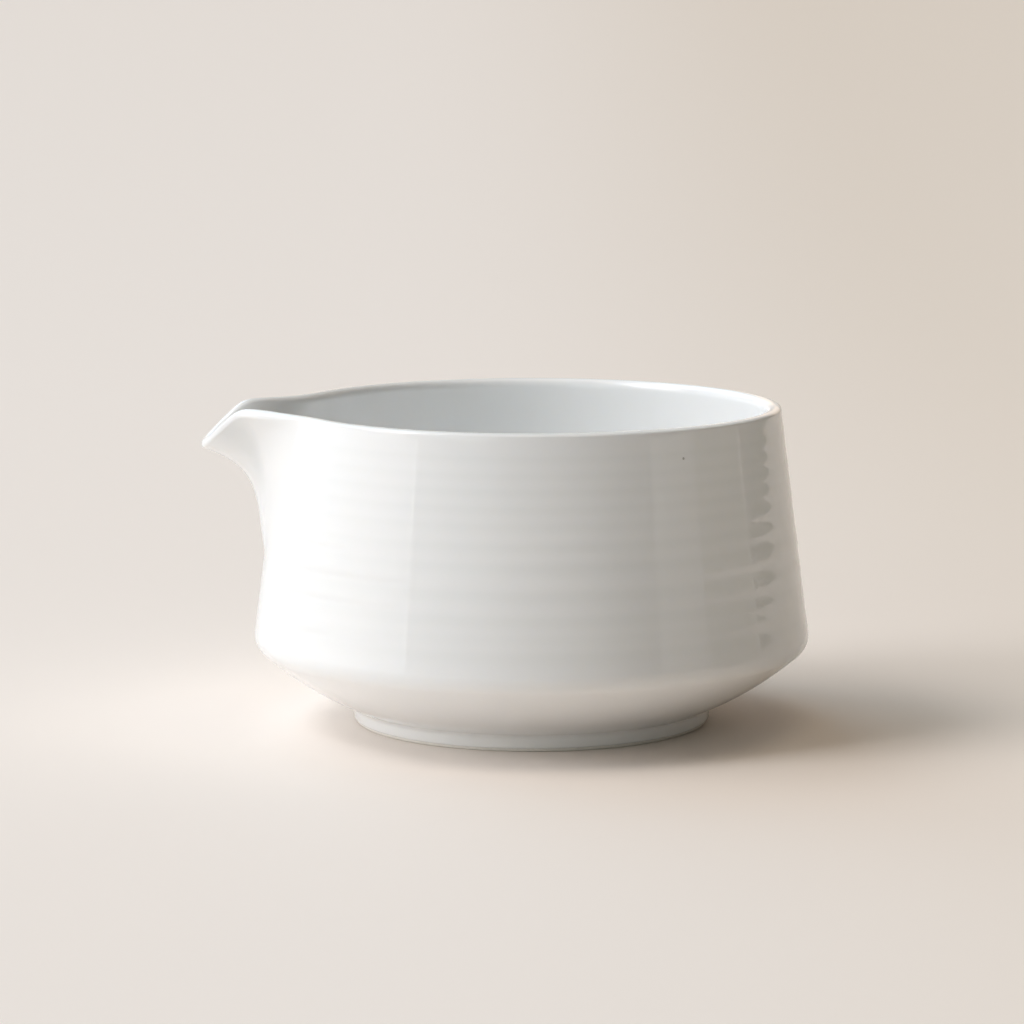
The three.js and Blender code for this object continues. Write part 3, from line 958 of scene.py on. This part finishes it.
class BOWL_OT_foot_ring(Operator):
    """Turned foot ring, bare where it stands on the table"""

    bl_idname = "bowl.foot_ring"
    bl_label = "Foot Ring"

    def execute(self, context):
        form = Form()
        bowl = form.bowl
        skin = Skin()
        rounding = bowl.foot_rounding
        inside, outside = well_radius(), clay_side()
        points = arc((inside + rounding, rounding), rounding, math.pi, 1.5 * math.pi, ARC_ROWS)
        points += arc((outside - rounding, rounding), rounding, -math.pi / 2, 0, ARC_ROWS)
        points += [(outside, seat_height()), (inside, seat_height())]
        rows = [turned_row(form, *point) for point in points]
        skin.chain(rows + [rows[0]])
        skin.make("turned_foot", "foot_ring", clay_material())
        return {"FINISHED"}


def table_material():
    """Matte off-white table, whose colour darkens away from the window as painted shade"""
    finish = bpy.context.scene.finish
    material, tree, shader = new_material("table")
    place = tree.nodes.new("ShaderNodeTexCoord").outputs["Object"]
    across = add_node(tree, "ShaderNodeSeparateXYZ", {"Vector": place}).outputs["X"]
    # Painted shade: darker colour away from the window
    away = ramp(tree, across, finish.shade_start, finish.shade_end, 0, 1, "SMOOTHSTEP")
    look = {
        "Base Color": mix_colours(tree, away, (*finish.table, 1), (*finish.table_shade, 1)),
        "Roughness": finish.table_roughness,
        "Specular IOR Level": TABLE_SHEEN,
    }
    set_inputs(tree, shader, look)
    return material


def sweep_mesh(table):
    """Table top that curves gently upwards at the back"""
    turns = np.linspace(0, table.slope, BEND_ROWS)
    profile = [(-table.front, 0.0)]
    profile += [(table.back + table.bend * math.sin(t), table.bend * (1 - math.cos(t))) for t in turns]
    points = [(side * table.half_width, y, z) for y, z in profile for side in (-1, 1)]
    faces = [(2 * i, 2 * i + 1, 2 * i + 3, 2 * i + 2) for i in range(len(profile) - 1)]
    mesh = bpy.data.meshes.new("table")
    mesh.from_pydata(points, [], faces)
    mesh.shade_smooth()
    return mesh


def soft_panel_group():
    """Share of a bright panel seen in a direction: 1 inside, 0 outside, with soft edges"""
    name = "Soft Panel"
    if name in bpy.data.node_groups:
        return bpy.data.node_groups[name]
    group = bpy.data.node_groups.new(name, "ShaderNodeTree")
    face = group.interface
    for label in ("Azimuth", "Elevation", "Middle", "Half Width", "Level", "Half Height", "Softness"):
        face.new_socket(label, in_out="INPUT", socket_type="NodeSocketFloat")
    face.new_socket("Share", in_out="OUTPUT", socket_type="NodeSocketFloat")
    given = group.nodes.new("NodeGroupInput").outputs
    softness = given["Softness"]

    def inside(angle, centre, half_size):
        away = math_node(group, "WRAP", math_node(group, "SUBTRACT", angle, centre), -math.pi, math.pi)
        start = math_node(group, "SUBTRACT", half_size, softness)
        end = math_node(group, "ADD", half_size, softness)
        return ramp(group, math_node(group, "ABSOLUTE", away), start, end, 1, 0, "SMOOTHSTEP")

    across = inside(given["Azimuth"], given["Middle"], given["Half Width"])
    upright = inside(given["Elevation"], given["Level"], given["Half Height"])
    add_node(group, "NodeGroupOutput", {"Share": math_node(group, "MULTIPLY", across, upright)})
    return group


def room_world():
    """Light that comes from the room: panels round the bowl, each at its own azimuth and elevation.
    Past the table's edge the camera sees a plain pale colour instead."""
    world = bpy.data.worlds.new("room")
    world.use_nodes = True
    tree = world.node_tree
    place = tree.nodes.new("ShaderNodeTexCoord").outputs["Generated"]
    towards = add_node(tree, "ShaderNodeSeparateXYZ", {"Vector": place}).outputs
    left = math_node(tree, "MULTIPLY", towards["X"], -1)
    near = math_node(tree, "MULTIPLY", towards["Y"], -1)
    azimuth = math_node(tree, "ARCTAN2", left, near)
    elevation = math_node(tree, "ARCSINE", towards["Z"])
    total = (0, 0, 0)
    for panel in PANELS:
        edges = {
            "Azimuth": azimuth,
            "Elevation": elevation,
            "Middle": math.radians((panel.right + panel.left) / 2),
            "Half Width": math.radians((panel.left - panel.right) / 2),
            "Level": math.radians((panel.low + panel.high) / 2),
            "Half Height": math.radians((panel.high - panel.low) / 2),
            "Softness": math.radians(panel.softness),
        }
        share = add_node(tree, "ShaderNodeGroup", edges, node_tree=soft_panel_group(), label=panel.name)
        sum_so_far = {0: panel.radiance, 1: share.outputs["Share"], 2: total}
        total = add_node(tree, "ShaderNodeVectorMath", sum_so_far, operation="MULTIPLY_ADD").outputs["Vector"]
    to_camera = tree.nodes.new("ShaderNodeLightPath").outputs["Is Camera Ray"]
    seen = mix_colours(tree, to_camera, total, (*bpy.context.scene.finish.beyond, 1))
    set_inputs(tree, tree.nodes["Background"], {"Color": seen})
    return world


class BOWL_OT_stage(Operator):
    """Table, light from the room, and camera"""

    bl_idname = "bowl.stage"
    bl_label = "Stage"

    def execute(self, context):
        studio = context.scene.studio
        table = bpy.data.objects.new("table", sweep_mesh(context.scene.table_sizes))
        context.scene.collection.objects.link(table)
        table.data.materials.append(table_material())

        context.scene.world = room_world()

        camera_data = bpy.data.cameras.new("camera")
        camera_data.sensor_width = SENSOR_WIDTH
        camera_data.lens = studio.lens / MM
        camera = bpy.data.objects.new("camera", camera_data)
        along = Vector((-math.sin(studio.turn), -math.cos(studio.turn), 0))
        aside = Vector((-math.cos(studio.turn), math.sin(studio.turn), 0))
        place = along * studio.distance + aside * studio.aside
        camera.location = (AXIS_X + place.x, place.y, studio.height)
        camera.rotation_euler = (math.pi / 2 - studio.pitch, 0, -studio.turn)
        context.scene.collection.objects.link(camera)
        context.scene.camera = camera
        context.scene.view_settings.view_transform = "Standard"
        return {"FINISHED"}


class BOWL_PT_sidebar(Panel):
    """Lists the bowl's pieces and sizes"""

    bl_idname = "BOWL_PT_sidebar"
    bl_label = "Spouted Bowl"
    bl_space_type = "VIEW_3D"
    bl_region_type = "UI"
    bl_category = "Bowl"

    def draw(self, context):
        layout = self.layout
        for operator in OPERATORS:
            layout.operator(operator.bl_idname)
        for group in GROUPS:
            settings = getattr(context.scene, group)
            for name in settings.bl_rna.properties.keys():
                if name not in ("rna_type", "name"):
                    layout.prop(settings, name)


GROUPS = {
    "bowl_sizes": BowlSizes,
    "beak_sizes": BeakSizes,
    "throwing_rings": ThrowingRings,
    "finish": Finish,
    "table_sizes": TableSizes,
    "studio": Studio,
}
OPERATORS = (
    BOWL_OT_stage,
    BOWL_OT_clay_bowl,
    BOWL_OT_clay_spout,
    BOWL_OT_foot_ring,
    BOWL_OT_outer_glaze,
    BOWL_OT_inner_glaze,
    BOWL_OT_foot_well_glaze,
)


def register():
    for name, group in GROUPS.items():
        bpy.utils.register_class(group)
        setattr(bpy.types.Scene, name, PointerProperty(type=group))
    for operator in OPERATORS:
        bpy.utils.register_class(operator)
    bpy.utils.register_class(BOWL_PT_sidebar)


def unregister():
    bpy.utils.unregister_class(BOWL_PT_sidebar)
    for operator in reversed(OPERATORS):
        bpy.utils.unregister_class(operator)
    for name, group in reversed(GROUPS.items()):
        delattr(bpy.types.Scene, name)
        bpy.utils.unregister_class(group)


def main():
    register()
    bpy.ops.bowl.stage()
    bpy.ops.bowl.clay_bowl()
    bpy.ops.bowl.clay_spout()
    bpy.ops.bowl.foot_ring()
    bpy.ops.bowl.outer_glaze()
    bpy.ops.bowl.inner_glaze()
    bpy.ops.bowl.foot_well_glaze()


if __name__ == "__main__":
    main()
